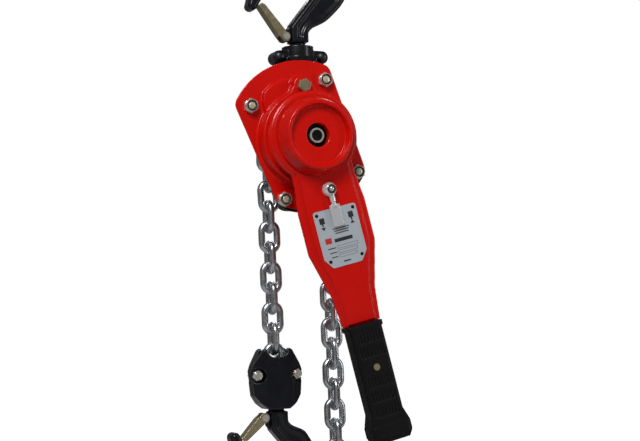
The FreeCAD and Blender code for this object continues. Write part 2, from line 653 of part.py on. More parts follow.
def lever_nodes():
    """Front and rear pressed shells that meet at a flange all round."""
    seam = -LEVER_SEAM
    front = fuse(
        lever_outline(LEVER_SIDE, LEVER_HEAD_R, seam - SHEET, seam),
        lever_outline(FACE_SIDE, LEVER_HEAD_R - 3, -LEVER_FACE, seam - SHEET),
        tang(seam - SHEET, seam),
    )
    front_room = lever_outline(FACE_SIDE, LEVER_HEAD_R - 3, -LEVER_FACE + SHEET, seam + 1, SHEET)
    holes = [rod(LEVER_HOLE_R, -70, -50), rod(SELECTOR_SHAFT_R + RUNNING_FIT, -70, -50, 0, SELECTOR_V)]
    keep("lever_front_shell", lean(cut(front, front_room, *holes), LEVER_LEAN))
    rear = fuse(
        lever_outline(LEVER_SIDE, LEVER_HEAD_R, seam, seam + SHEET),
        lever_outline(FACE_SIDE, LEVER_HEAD_R - 3, seam + SHEET, -LEVER_BACK),
        tang(seam, seam + SHEET),
    )
    rear_room = lever_outline(FACE_SIDE, LEVER_HEAD_R - 3, seam - 1, -LEVER_BACK - SHEET, SHEET)
    rear = cut(rear, rear_room, rod(COLLAR_R[1] + RUNNING_FIT, -70, -40))
    keep("lever_rear_shell", lean(rear, LEVER_LEAN))


def grip_nodes():
    """Moulded grip pushed over the lever's tang, held by one screw."""
    y0, y1 = GRIP_Y
    mid = (y0 + y1) / 2
    half, flare = 20.8, 25.0
    side = ((half, GRIP_TOP_V), (half, -334.0), (flare, -346.0), (flare, -357.0), (20.0, GRIP_END_V))
    body = prism(mirrored(side), y0, y1)
    body = body.makeFillet(5.0, long_edges(body, side[0][1] - side[1][1], Z_AXIS))
    lip = box(-half - 1.5, half + 1.5, y0 - 1.0, y1 + 1.0, GRIP_TOP_V - 6.0, GRIP_TOP_V)
    lip = lip.makeFillet(5.0, long_edges(lip, 6.0, Z_AXIS))
    cap = box(-flare, flare, mid - 14.0, mid + 14.0, -360.0, -345.0)
    cap = cap.makeFillet(6.0, long_edges(cap, 15.0, Z_AXIS))
    seam = -LEVER_SEAM
    pocket = box(-TANG_HALF, TANG_HALF, seam - SHEET, seam + SHEET, TANG_END_V, GRIP_TOP_V + 5)
    screw_hole = rod(2.5, y0 - 5, seam - SHEET, 0, GRIP_SCREW_V)
    slots = []
    for row in range(GRIP_ROWS):
        if row == GRIP_ROWS // 2 - 1:
            continue
        top = GRIP_TOP_V - 10.0 - row * GRIP_ROW_PITCH
        for i in range(GRIP_SLOTS):
            u = (i - (GRIP_SLOTS - 1) / 2) * GRIP_SLOT_PITCH
            slots.append(box(u - 0.9, u + 0.9, y0 - 1, y0 + 1.2, top - GRIP_ROW_PITCH + 5.0, top))
    grip = cut(fuse(body, lip, cap), pocket, screw_hole, *slots)
    keep("grip", lean(grip, LEVER_LEAN))
    head = rod(4.0, y0 - 1.2, y0, 0, GRIP_SCREW_V)
    screw = fuse(rod(2.5, y0 + 1.0, seam - SHEET, 0, GRIP_SCREW_V), head)
    screw = fuse(screw, rod(2.5, y0, y0 + 1.0, 0, GRIP_SCREW_V))
    keep("grip_screw", lean(screw, LEVER_LEAN))


def name_plate_nodes():
    face = -LEVER_FACE
    side = ((PLATE_HALF, PLATE_TOP_V), (PLATE_HALF, PLATE_END_V + 12.0), (PLATE_HALF - 9.0, PLATE_END_V))
    blank = prism(mirrored(side), face - NAME_PLATE_THICK, face)
    blank = blank.makeFillet(3.0, long_edges(blank, NAME_PLATE_THICK))
    holes, rivets = [], []
    for u, v in ((23.2, PLATE_TOP_V - 4.5), (20.2, PLATE_END_V + 8.0)):
        for s in (-1, 1):
            holes.append(rod(1.2, -70, -50, s * u, v))
            shank = rod(1.2, face - NAME_PLATE_THICK, face, s * u, v)
            head = Part.makeSphere(2.4, Vec(s * u, face - NAME_PLATE_THICK + 1.2, v))
            head = head.common(box(s * u - 5, s * u + 5, -70, face - NAME_PLATE_THICK, v - 5, v + 5))
            rivets.append(lean(fuse(shank, head), LEVER_LEAN))
    keep("name_plate", lean(cut(blank, *holes), LEVER_LEAN))
    keep("name_plate_rivets", *rivets)
    return holes


def selector_nodes():
    """Direction knob and tab outside the lever, double pawl inside, on one shaft."""
    v, face = SELECTOR_V, -LEVER_FACE
    back = face - 0.3
    outside = box(-20, 20, face - 30, back, v - 20, v + 20)
    knob = Part.makeSphere(KNOB_R, Vec(0, face - 1.0, v)).common(outside)
    neck = fuse(
        Part.makeCylinder(3.4, 15.0, Vec(0, face - 4.5, v), Z_AXIS * -1),
        Part.makeCylinder(2.7, 20.5, Vec(0, face - 4.5, v), Z_AXIS * -1),
    )
    tab = box(-6.4, 6.4, face - 5.4, face - 3.4, -108.0, -82.0)
    tab = tab.makeFillet(2.5, long_edges(tab, 2.0)[:4])
    shaft = rod(SELECTOR_SHAFT_R, back, CHANGE_TEETH_Y[0] - 0.2, 0, v)
    stub = rod(SELECTOR_SHAFT_R - 1.0, CHANGE_TEETH_Y[0] - 0.2, -LEVER_BACK - SHEET - 0.2, 0, v)
    skirt = rod(KNOB_R, face - 1.0, back, 0, v)
    handle = cut(fuse(knob, skirt, neck, tab, shaft, stub), rod(1.6, face - 20, face - 6, 0, v))
    keep("selector_lever", lean(handle, LEVER_LEAN))
    above = box(-5, 5, face - 20, face - 9.7, v - 5, v + 5)
    screw = Part.makeSphere(3.4, Vec(0, face - 8.9, v)).common(above)
    keep("selector_screw", lean(fuse(screw, rod(1.6, face - 9.8, face - 6, 0, v)), LEVER_LEAN))
    reach = -v - CHANGE_R - 0.5
    horns = []
    for s in (-1, 1):
        side = ((5.0, 0), (3.2, reach - 3), (0.8, reach))
        horns.append(lean(prism(mirrored(side), *CHANGE_TEETH_Y), s * HORN_DEG))
    pawl = fuse(rod(8.0, *CHANGE_TEETH_Y), *horns)
    pawl.translate(Vec(0, 0, v))
    pawl = cut(pawl, rod(SELECTOR_SHAFT_R - 1.0, -70, -50, 0, v))
    keep("change_pawl", lean(pawl, LEVER_LEAN))


def hand_wheel_nodes():
    """Free-chain hand wheel: rim, recessed disc and a sleeve on the change gear."""
    lip_back = -WHEEL_LIP + 1.8
    rim = fuse(cone(39.5, 41.0, -WHEEL_LIP, lip_back), cone(41.0, 46.5, lip_back, -WHEEL_BACK))
    front_room = cone(36.0, 34.0, -WHEEL_LIP, -WHEEL_DISC)
    rear_room = cut(cone(37.0, 43.0, -WHEEL_DISC + 3.0, -WHEEL_BACK), rod(17.5, -90, -50))
    bore = rod(WHEEL_BORE_R, -90, -50)
    notches = []
    for i in range(WHEEL_NOTCHES):
        x, z = polar(52.6, 360 / WHEEL_NOTCHES * i)
        notches.append(cone(7.2, 8.6, -WHEEL_LIP + 5.0, -WHEEL_BACK - 2.0, x, z))
    keep("hand_wheel", cut(rim, front_room, rear_room, bore, *notches))


# ---- top yoke and hooks -------------------------------------------------------------------
YOKE_HALF_DEPTH, LUG_HALF_DEPTH = 20.0, 11.0
YOKE_BOLT_U, YOKE_BOLT_Z, YOKE_BOLT_R = 26.8, 101.0, 3.5
LUG_R = 8.0
YOKE_NECK = ((17, 100), (17, 96), (12, 90), (12, 76))
SHANK_R, SHANK_HEAD_R = 9.3, 13.0
TOP_HEAD_Z = (92.0, 100.0)


def swivel_room(x, head_z, shank_top, shank_bottom):
    """The bore for a hook's shank and the chamber for its head."""
    low, high = head_z
    return fuse(
        Part.makeCylinder(SHANK_R + 0.08, shank_top - shank_bottom, Vec(x, 0, shank_bottom), Z_AXIS),
        Part.makeCylinder(SHANK_HEAD_R + 0.5, high - low + 1.2, Vec(x, 0, low - 0.6), Z_AXIS),
    )


def yoke_nodes():
    """Two forged halves bolted together round the hook's swivel head."""
    x, depth, lug = PIN_X, YOKE_HALF_DEPTH, LUG_HALF_DEPTH
    collar = Part.makeCylinder(19.0, TOP_COLLAR_Z - 90.0, Vec(x, 0, 90.0), Z_AXIS)
    neck = prism([(x + u, z) for u, z in mirrored(YOKE_NECK)], -depth, depth)
    eye = rod(13.0, -depth, depth, x, PIN_Z)
    reach = YOKE_BOLT_U
    lugs = box(x - reach, x + reach, -lug, lug, YOKE_BOLT_Z - LUG_R, YOKE_BOLT_Z + LUG_R)
    ends = [rod(LUG_R, -lug, lug, x + side * reach, YOKE_BOLT_Z) for side in (-1, 1)]
    whole = fuse(collar, neck, eye, lugs, *ends)
    room = swivel_room(x, TOP_HEAD_Z, TOP_COLLAR_Z + 1, TOP_HEAD_Z[1])
    tools = [room, rod(PIN_R + RUNNING_FIT, -40, 40, x, PIN_Z)]
    bolts = []
    for s in (-1, 1):
        bx = x + s * YOKE_BOLT_U
        tools.append(rod(YOKE_BOLT_R, -40, 40, bx, YOKE_BOLT_Z))
        heads = []
        for side in (-1, 1):
            ball = Part.makeSphere(8.0, Vec(bx, side * (lug - 2.5), YOKE_BOLT_Z))
            y0, y1 = sorted((side * lug, side * (lug + 9)))
            heads.append(ball.common(box(bx - 9, bx + 9, y0, y1, 90, 120)))
        bolts.append(fuse(rod(YOKE_BOLT_R, -lug, lug, bx, YOKE_BOLT_Z), *heads))
    whole = cut(whole, *tools)
    for name, y0, y1 in (("top_yoke_front", -60, 0), ("top_yoke_rear", 0, 60)):
        keep(name, whole.common(box(-100, 100, y0, y1, 0, 200)))
    keep("top_yoke_bolts", *bolts)


def throat_side(nose):
    """Unit vector from the bowl's centre to where the straight throat leaves the bowl."""
    to_nose = math.hypot(nose[0], nose[1] - BOWL_W)
    bearing = math.atan2(nose[1] - BOWL_W, nose[0])
    tangent = bearing - math.acos((BOWL_R + NOSE_R) / to_nose)
    return Vec(math.cos(tangent), 0, math.sin(tangent))


def hook_blank(nose, bulge):
    """A forged latch hook, opening to the left; u across and w up from the pivot."""
    side = throat_side(nose)
    centre, nose_c = Vec(0, 0, BOWL_W), Vec(nose[0], 0, nose[1])
    throat = centre + side * BOWL_R
    nose_in = nose_c - side * NOSE_R
    nose_out = nose_c + side * NOSE_R
    nose_end = nose_c + Vec(-side.z, 0, side.x) * NOSE_R
    ramp = math.radians(50.5)
    low = centre + Vec(math.sin(ramp), 0, -math.cos(ramp)) * BOWL_R
    foot = Vec(-14.2, 0, 9.0)
    k = bulge / 69.0
    left = nose[0] / 59.4
    outer = [nose_out]
    outer += [Vec(x * left, 0, z) for x, z in ((57, 68), (44, 97), (22, 119))]
    outer.append(Vec(6, 0, 127))
    outer += [Vec(x * k, 0, z) for x, z in ((36, 118), (59, 97), (69, 69), (61.7, 44.1), (46.5, 27.5))]
    outer += [Vec(32.0, 0, 17.5), Vec(15.0, 0, 8.5), Vec(11.0, 0, 1.0)]
    spine = Part.BSplineCurve()
    spine.interpolate(outer)
    edges = [
        Part.LineSegment(Vec(11.0, 0, 1.0), Vec(11.0, 0, -7.0)).toShape(),
        Part.LineSegment(Vec(11.0, 0, -7.0), Vec(-11.0, 0, -7.0)).toShape(),
        Part.LineSegment(Vec(-11.0, 0, -7.0), foot).toShape(),
        Part.LineSegment(foot, low).toShape(),
        Part.Arc(low, centre + Vec(0, 0, BOWL_R), throat).toShape(),
        Part.LineSegment(throat, nose_in).toShape(),
        Part.Arc(nose_in, nose_end, nose_out).toShape(),
        spine.toShape(),
    ]
    face = Part.Face(Part.Wire(edges))
    face.translate(Vec(0, -HOOK_THICK / 2, 0))
    blank = face.extrude(Vec(0, HOOK_THICK, 0))
    both = face_edges(blank, -HOOK_THICK / 2) + face_edges(blank, HOOK_THICK / 2)
    return blank.makeChamfer(3.0, [edge for edge in both if edge.Length > 25])


def latch_angle(pivot, nose):
    """Bearing of the closed latch, which rests against the inside of the nose."""
    du, dw = nose[0] - pivot[0], nose[1] - pivot[1]
    gap = math.asin((NOSE_R + LATCH_HALF + 0.3) / math.hypot(du, dw))
    return math.degrees(math.atan2(dw, du) - gap)


def latch_length(pivot, nose, angle):
    """How far the latch runs before either edge of its tip meets the throat."""
    side = throat_side(nose)
    a = math.radians(angle)
    along, across = Vec(math.cos(a), 0, math.sin(a)), Vec(-math.sin(a), 0, math.cos(a))
    lengths = []
    for edge in (-LATCH_HALF, LATCH_HALF):
        start = Vec(pivot[0], 0, pivot[1] - BOWL_W) + across * edge
        lengths.append((BOWL_R - 0.4 - start.dot(side)) / along.dot(side))
    return min(lengths)


def hook_pieces(nose, bulge, shank_low):
    """Hook, latch, latch pin and spring in the hook's own frame."""
    pivot = (LATCH_PIVOT_U, 0.0)
    web = box(LATCH_PIVOT_U, -8, -3.0, 3.0, -LATCH_EYE_R, LATCH_EYE_R)
    eye = fuse(rod(LATCH_EYE_R, -3.0, 3.0, *pivot), web)
    head_low, head_high = shank_low
    shank = fuse(
        Part.makeCylinder(SHANK_R, -7.0 - head_low, Vec(0, 0, head_low), Z_AXIS),
        Part.makeCylinder(SHANK_HEAD_R, head_high - head_low, Vec(0, 0, head_low), Z_AXIS),
    )
    slot_sides = [box(-26, -9.5, -12, -3.0, -8.5, 14.5), box(-26, -9.5, 3.0, 12, -8.5, 14.5)]
    hook = fuse(cut(hook_blank(nose, bulge), *slot_sides), eye, shank)
    hook = cut(hook, rod(LATCH_PIN_R, -20, 20, *pivot))
    angle = latch_angle(pivot, nose)
    length = latch_length(pivot, nose, angle)
    tip = ((LATCH_HALF, length - 4), (1.5, length), (-LATCH_HALF, length), (-LATCH_HALF, length - 4))
    cheek = ((-6.0, -2.0), (-4.6, 5.2), (4.6, 5.2), *tip, (-6.0, 8.0))
    side = fuse(rod(6.0, -7.6, 7.6), prism(cheek, -7.6, 7.6))
    room = fuse(rod(7.6, -6.2, 6.2), box(-LATCH_HALF + 1.4, 8, -6.2, 6.2, 0, length + 9))
    latch = cut(side, room, rod(LATCH_PIN_R + RUNNING_FIT, -20, 20))
    latch = lean(latch, angle - 90)
    latch.translate(Vec(pivot[0], 0, pivot[1]))
    heads = [rod(4.2, *station, *pivot) for station in ((-9.4, -7.8), (7.8, 9.4))]
    pin = fuse(rod(LATCH_PIN_R, -7.8, 7.8, *pivot), *heads)
    spring = coil_spring(LATCH_COIL_R, 0.8, 4, Vec(pivot[0], -5.7, pivot[1]))
    return hook, latch, pin, spring


def hook_nodes():
    hook, latch, pin, spring = hook_pieces((-57.1, 36.8), 66.4, [z - TOP_PIVOT_Z for z in TOP_HEAD_Z])
    names = ("top_hook", "top_latch", "top_latch_pin", "top_latch_spring")
    for name, shape in zip(names, (hook, latch, pin, spring)):
        shape.translate(Vec(HOOK_AXIS_X, 0, TOP_PIVOT_Z))
        keep(name, shape)
    heads = [BOTTOM_PIVOT_Z - z for z in BOTTOM_HEAD_Z]
    hook, latch, pin, spring = hook_pieces((-53.8, 20.5), 57.5, [min(heads), max(heads)])
    names = ("bottom_hook", "bottom_latch", "bottom_latch_pin", "bottom_latch_spring")
    for name, shape in zip(names, (hook, latch, pin, spring)):
        shape.rotate(Vec(0, 0, 0), X_AXIS, 180)
        shape.translate(Vec(-RUN_X, 0, BOTTOM_PIVOT_Z))
        keep(name, shape)


# ---- bottom block -------------------------------------------------------------------------
BLOCK_SIDE = (
    (10.0, -241.0), (17.5, -246.0), (28.0, -262.0), (31.5, -270.0),
    (28.5, -299.0), (22.0, -308.0), (12.5, -315.0),
)
BLOCK_PLAN = ((17.0, -16.0), (31.5, -8.0), (31.5, 8.0), (17.0, 16.0))
CHAIN_PIN_Z = -263.6


def bottom_block():
    outline = prism(mirrored(BLOCK_SIDE), -16, 16)
    corners = BLOCK_PLAN + tuple((-u, y) for u, y in reversed(BLOCK_PLAN))
    base = [Vec(u, y, BLOCK_Z[0]) for u, y in corners]
    tall = Vec(0, 0, BLOCK_Z[1] - BLOCK_Z[0])
    plan = Part.Face(Part.makePolygon(base + base[:1])).extrude(tall)
    sweep = math.radians(BLOCK_SWING_DEG + 2)
    rise = BLOCK_Z[1] - CHAIN_PIN_Z + 2
    mouth = 14.2 / math.cos(sweep) + rise * math.tan(sweep)
    sector = ((mouth, CHAIN_PIN_Z + rise), (14.2, CHAIN_PIN_Z))
    wedge = prism(mirrored(sector), -4.6, 4.6)
    tools = [wedge, rod(14.2, -4.6, 4.6, 0, CHAIN_PIN_Z), rod(CHAIN_PIN_R, -12, 12, 0, CHAIN_PIN_Z)]
    tools.append(rod(14.5, -20, 20, 0, BLOCK_Z[1]))
    tools.append(swivel_room(0, BOTTOM_HEAD_Z, BOTTOM_HEAD_Z[0], BLOCK_Z[0] - 1))
    for s in (-1, 1):
        u = s * BLOCK_BOLT_U
        tools.append(rod(BLOCK_BOLT_R, -20, 20, u, BLOCK_BOLT_Z))
        tools.append(rod(8.6, -20, -7.5, u, BLOCK_BOLT_Z))
        tools.append(rod(8.6, 7.5, 20, u, BLOCK_BOLT_Z))
    return cut(outline.common(plan), *tools)


def bottom_block_nodes():
    block = bottom_block()
    block.translate(Vec(-RUN_X, 0, 0))
    for name, y0, y1 in (("bottom_block_front", -60, 0), ("bottom_block_rear", 0, 60)):
        keep(name, block.common(box(-200, 200, y0, y1, -400, 0)))
    bolts, nuts = [], []
    for s in (-1, 1):
        x = -RUN_X + s * BLOCK_BOLT_U
        shank = rod(BLOCK_BOLT_R, -13.0, 7.5, x, BLOCK_BOLT_Z)
        bolts.append(fuse(shank, hexagon(10.0, 7.5, 11.5, x, BLOCK_BOLT_Z)))
        crown = rod(5.1, -12.8, -10.5, x, BLOCK_BOLT_Z)
        nut = fuse(hexagon(11.0, -10.5, -7.5, x, BLOCK_BOLT_Z, 15), crown)
        bore = rod(BLOCK_BOLT_R, -20, 20, x, BLOCK_BOLT_Z)
        seat = tube(4.3, 1.0, -20, -12.0, x, BLOCK_BOLT_Z)
        nuts.append(cut(nut, bore, seat))
    keep("bottom_block_bolts", *bolts)
    keep("bottom_block_nuts", *nuts)
    keep("chain_pin", rod(CHAIN_PIN_R, -12, 12, -RUN_X, CHAIN_PIN_Z))


def write_parts():
    os.makedirs("parts", exist_ok=True)
    chain_nodes()
    sheave_nodes()
    gear_nodes()
    brake_nodes()
    frame_nodes()
    lever_nodes()
    grip_nodes()
    name_plate_nodes()
    selector_nodes()
    hand_wheel_nodes()
    yoke_nodes()
    hook_nodes()
    bottom_block_nodes()
    for name, shape in sorted(parts.items()):
        if not shape.isValid():
            print("not valid:", name)
        shape.exportStep("parts/%s.step" % name)
    print(len(parts), "nodes")


write_parts()
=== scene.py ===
import json
import math

import bmesh
import bpy
from mathutils import Matrix, Vector
from mathutils.kdtree import KDTree


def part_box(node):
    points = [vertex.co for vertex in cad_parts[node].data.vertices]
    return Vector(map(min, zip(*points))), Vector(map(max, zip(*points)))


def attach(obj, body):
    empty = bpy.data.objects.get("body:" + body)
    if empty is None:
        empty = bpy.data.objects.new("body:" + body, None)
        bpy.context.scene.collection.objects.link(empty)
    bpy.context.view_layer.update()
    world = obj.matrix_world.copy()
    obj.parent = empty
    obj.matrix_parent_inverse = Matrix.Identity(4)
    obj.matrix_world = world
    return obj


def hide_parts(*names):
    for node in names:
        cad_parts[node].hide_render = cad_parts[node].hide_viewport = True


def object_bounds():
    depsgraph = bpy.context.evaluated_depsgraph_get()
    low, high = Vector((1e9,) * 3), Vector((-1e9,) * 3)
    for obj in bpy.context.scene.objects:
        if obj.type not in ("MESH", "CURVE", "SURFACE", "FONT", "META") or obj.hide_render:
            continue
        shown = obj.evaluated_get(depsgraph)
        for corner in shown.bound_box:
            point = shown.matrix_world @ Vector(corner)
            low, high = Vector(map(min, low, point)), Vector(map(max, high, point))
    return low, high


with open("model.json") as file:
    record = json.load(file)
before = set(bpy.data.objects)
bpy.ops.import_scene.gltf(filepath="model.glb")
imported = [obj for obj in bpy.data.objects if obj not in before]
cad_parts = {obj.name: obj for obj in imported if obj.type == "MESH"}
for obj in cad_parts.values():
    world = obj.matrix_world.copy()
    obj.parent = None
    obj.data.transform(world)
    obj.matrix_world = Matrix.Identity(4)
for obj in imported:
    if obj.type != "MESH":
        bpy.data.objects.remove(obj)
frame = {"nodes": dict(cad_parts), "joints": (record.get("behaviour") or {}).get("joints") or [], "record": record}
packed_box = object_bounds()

# Looks for the lever chain hoist. Lengths are in metres, in the row's frame.
MM = 0.001
NODES = frame["nodes"]
JOINTS = {joint["name"]: joint for joint in frame["joints"]}
BODY_OF = {n: body for body, names in frame["record"]["behaviour"]["bodies"].items() for n in names}
HUB = Vector(JOINTS["lever_turn"]["pos_m"])
LEVER_LEAN = math.radians(12.9)
PACKED_MIDDLE = (packed_box[0] + packed_box[1]) / 2

# camera: angle, distance and lens of the view from the lever's left, a little from below
CAMERA_AZIMUTH = math.radians(21.0)
CAMERA_RISE = math.radians(-3.25)
CAMERA_ROLL = math.radians(-2.36)
CAMERA_DISTANCE, CAMERA_LENS, CAMERA_SENSOR, CAMERA_REACH = 1.9997, 93.93, 36.0, 60.0
CAMERA_AIM = Vector((0.0199, 0.0, -0.31631))

# studio
FLOOR_Z, FLOOR_REACH = -0.80, 6.0
SKY_LIGHT, SKY_SEEN = 0.14, 1.0
LIGHTS_AIM = Vector((0.0, 0.0, -0.30))
LIGHTS = (
    # name, place, width and height, power in watts
    ("key", (-0.9, -1.3, 1.0), (0.6, 0.8), 27),
    ("fill", (1.4, -1.1, 0.0), (0.35, 1.2), 6),
    ("rim", (0.5, 1.3, 0.8), (0.8, 0.5), 10),
)

# meshes
WELD = 1e-6
SKIN_SHARE = 0.4  # of a skin's faces, kept where nothing is carved into it
CARVED = ("top_hook", "bottom_hook")
CARVE_RIM, CARVE_EASE, CARVE_DEPTH = 6.0 * MM, 3.5 * MM, 2.6 * MM
OUTLINE_SHARE, CHEEK_SHARE = 0.62, 0.72  # of a hook's half thickness, up to and from
SKINS = (
    # node, voxel in millimetres, smoothing passes
    ("brake_cover", 0.8, 14),
    ("gear_cover", 0.9, 8),
    ("lever_front_shell", 0.8, 12),
    ("lever_rear_shell", 0.9, 5),
    ("hand_wheel", 0.6, 7),
    ("grip", 0.6, 2),
    ("top_yoke_front", 0.7, 5),
    ("top_yoke_rear", 0.7, 5),
    ("bottom_block_front", 0.7, 5),
    ("bottom_block_rear", 0.7, 5),
    ("top_hook", 0.9, 8),
    ("bottom_hook", 0.9, 8),
    ("top_latch", 0.4, 2),
    ("bottom_latch", 0.4, 2),
    ("frame_lock_nuts", 0.3, 1),
    ("bottom_block_nuts", 0.3, 1),
    ("brake_cover_bolt", 0.3, 1),
    ("selector_lever", 0.35, 2),
    ("top_yoke_bolts", 0.4, 1),
)
DARK_NODES = ("change_gear", "drive_shaft", "name_plate_rivets")

# lock nuts: the widest nut of each node in metres, and what is seen inside its crown
WIDEST_NUT = {"frame_lock_nuts": 0.0160, "bottom_block_nuts": 0.0112}
# node, ring radius, ring thickness from its middle and depth below the crown, in millimetres
NYLON_RINGS = (("frame_lock_nuts", 5.5, 1.0, 0.3), ("bottom_block_nuts", 4.1, 0.75, 0.1))
# node, bolt radius and length, in millimetres
BOLT_ENDS = (("frame_lock_nuts", 4.6, 1.5), ("bottom_block_nuts", 2.9, 1.2))
BOLT_SIDES = 32
# the rounding of a bolt's end: share of its radius, and depth in millimetres
BOLT_CHAMFER = ((0.55, 0.0), (0.86, 0.25), (1.0, 0.8))
# the bolt's end below the nut's crown, and the ink above the plate, in millimetres
BOLT_SINK = 0.2
INK_THICKNESS = 0.06
KNOB_RING_R, KNOB_RING_TUBE, KNOB_RING_SINK = 4.5 * MM, 0.9 * MM, 2.6 * MM

# where nearly all values of a noise texture lie
NOISE_LOW, NOISE_HIGH = 0.3, 0.7


# ---- shaders --------------------------------------------------------------------------
class Shader:
    """A procedural material, built up one layer at a time."""

    def __init__(self, name, metallic=0.0, coat=0.0, coat_roughness=0.1, gloss=0.5):
        self.material = bpy.data.materials.new(name)
        self.material.use_nodes = True
        self.tree = self.material.node_tree
        self.surface = self.tree.nodes["Principled BSDF"]
        self.surface.inputs["Metallic"].default_value = metallic
        self.surface.inputs["Coat Weight"].default_value = coat
        self.surface.inputs["Coat Roughness"].default_value = coat_roughness
        self.surface.inputs["Specular IOR Level"].default_value = gloss
        self.place = self.tree.nodes.new("ShaderNodeTexCoord").outputs["Object"]
        self.normal = None

    def link(self, source, target):
        self.tree.links.new(source, target)

    def stretched(self, scale):
        """The texture's place, scaled along each axis by its own number."""
        mapping = self.tree.nodes.new("ShaderNodeMapping")
        mapping.inputs["Scale"].default_value = scale
        self.link(self.place, mapping.inputs["Vector"])
        return mapping.outputs["Vector"]

    def noise(self, scale, detail, rough=0.55, stretch=None):
        node = self.tree.nodes.new("ShaderNodeTexNoise")
        node.inputs["Scale"].default_value = scale
        node.inputs["Detail"].default_value = detail
        node.inputs["Roughness"].default_value = rough
        self.link(self.stretched(stretch) if stretch else self.place, node.inputs["Vector"])
        return node.outputs["Fac"]

    def cells(self, scale):
        """The distance from the middle of the nearest of many small cells."""
        node = self.tree.nodes.new("ShaderNodeTexVoronoi")
        node.inputs["Scale"].default_value = scale
        self.link(self.place, node.inputs["Vector"])
        return node.outputs["Distance"]

    def edges(self, low, high):
        """Raised edges of a dense mesh, from 0 to 1."""
        node = self.tree.nodes.new("ShaderNodeNewGeometry")
        return self.spread(node.outputs["Pointiness"], low, high, 0.0, 1.0)

    def spread(self, value, low, high, start, end):
        """The value moved from between low and high to between start and end."""
        node = self.tree.nodes.new("ShaderNodeMapRange")
        node.inputs["From Min"].default_value = low
        node.inputs["From Max"].default_value = high
        node.inputs["To Min"].default_value = start
        node.inputs["To Max"].default_value = end
        self.link(value, node.inputs["Value"])
        return node.outputs["Result"]

    def times(self, a, b):
        node = self.tree.nodes.new("ShaderNodeMath")
        node.operation = "MULTIPLY"
        self.link(a, node.inputs[0])
        self.link(b, node.inputs[1])
        return node.outputs["Value"]

    def blend(self, factor, first, second):
        """A colour between two, each a colour or another blend."""
        first_socket, second_socket, result_socket = 6, 7, 2
        node = self.tree.nodes.new("ShaderNodeMix")
        node.data_type = "RGBA"
        self.link(factor, node.inputs["Factor"])
        for value, socket in ((first, first_socket), (second, second_socket)):
            if isinstance(value, tuple):
                node.inputs[socket].default_value = (*value, 1.0)
            else:
                self.link(value, node.inputs[socket])
        return node.outputs[result_socket]

    def colour(self, source):
        self.link(source, self.surface.inputs["Base Color"])

    def roughness(self, source):
        self.link(source, self.surface.inputs["Roughness"])

    def bump(self, height, depth, strength):
        """Relief on top of any relief already there, its depth in metres."""
        node = self.tree.nodes.new("ShaderNodeBump")
        node.inputs["Distance"].default_value = depth
        node.inputs["Strength"].default_value = strength
        self.link(height, node.inputs["Height"])
        if self.normal is not None:
            self.link(self.normal, node.inputs["Normal"])
        self.normal = node.outputs["Normal"]
        self.link(self.normal, self.surface.inputs["Normal"])


def red_paint():
    """Thick glossy enamel with a little orange peel, paler on the edges: partly worn paint, partly a painted
    highlight.
    """
    s = Shader("red_paint", coat=0.16, coat_roughness=0.10, gloss=0.22)
    tone = s.blend(s.noise(14, 3), (0.60, 0.003, 0.0006), (0.72, 0.005, 0.001))
    # paler edges: partly worn paint, partly a painted highlight in the lit red
    wear_and_highlight = s.times(s.edges(0.53, 0.62), s.spread(s.noise(90, 5), 0.45, 0.7, 0, 1))
    tone = s.blend(wear_and_highlight, tone, (0.78, 0.03, 0.012))
    dust = s.spread(s.noise(260, 6, 0.7), 0.62, 0.82, 0.0, 0.35)
    s.colour(s.blend(dust, tone, (0.42, 0.008, 0.004)))
    s.roughness(s.spread(s.noise(60, 5), NOISE_LOW, NOISE_HIGH, 0.22, 0.34))
    s.bump(s.noise(420, 3), 0.00005, 0.6)
    s.bump(s.noise(45, 2), 0.0003, 0.25)
    return s.material


def black_enamel():
    """Blue-black paint over a drop-forged skin, lighter on the ridges: partly rubbed wear, partly a painted
    highlight.
    """
    s = Shader("black_enamel", coat=0.45, coat_roughness=0.12, gloss=0.25)
    tone = s.blend(s.noise(35, 4), (0.0010, 0.0012, 0.0026), (0.0035, 0.0042, 0.009))
    # lighter bluish ridges: partly rubbed wear, partly a painted highlight
    rubbed_and_highlight = s.times(s.edges(0.54, 0.66), s.spread(s.noise(160, 6), 0.45, 0.65, 0, 1))
    s.colour(s.blend(rubbed_and_highlight, tone, (0.022, 0.025, 0.038)))
    s.roughness(s.spread(s.noise(80, 6), NOISE_LOW, NOISE_HIGH, 0.26, 0.46))
    s.bump(s.noise(170, 5), 0.0004, 0.35)
    s.bump(s.noise(900, 3), 0.00005, 0.5)
    return s.material


def black_plate_paint():
    """Thin black paint on flat plate."""
    s = Shader("black_plate_paint", coat=0.1, coat_roughness=0.25, gloss=0.3)
    s.colour(s.blend(s.noise(50, 4), (0.002, 0.002, 0.0026), (0.006, 0.006, 0.0075)))
    s.roughness(s.spread(s.noise(120, 5), NOISE_LOW, NOISE_HIGH, 0.34, 0.52))
    s.bump(s.noise(500, 3), 0.00006, 0.5)
    return s.material


def galvanised():
    """Dull zinc with fine pale and dark spangles and patches of grime."""
    s = Shader("galvanised", metallic=1.0)
    tone = s.blend(s.noise(240, 5), (0.36, 0.37, 0.385), (0.84, 0.86, 0.89))
    grime = s.spread(s.noise(75, 6, 0.65), 0.5, 0.75, 0.0, 0.55)
    s.colour(s.blend(grime, tone, (0.11, 0.11, 0.115)))
    s.roughness(s.spread(s.cells(520), 0.0, 0.9, 0.20, 0.36))
    s.bump(s.noise(200, 4), 0.00012, 0.35)
    return s.material


def plated(name, low, high, rough, grain=700, metallic=1.0):
    """Bright plating with faint turning marks."""
    s = Shader(name, metallic=metallic)
    s.colour(s.blend(s.noise(180, 5), low, high))
    s.roughness(s.spread(s.noise(140, 5), NOISE_LOW, NOISE_HIGH, rough * 0.75, rough * 1.35))
    s.bump(s.noise(grain, 3), 0.00005, 0.4)
    return s.material


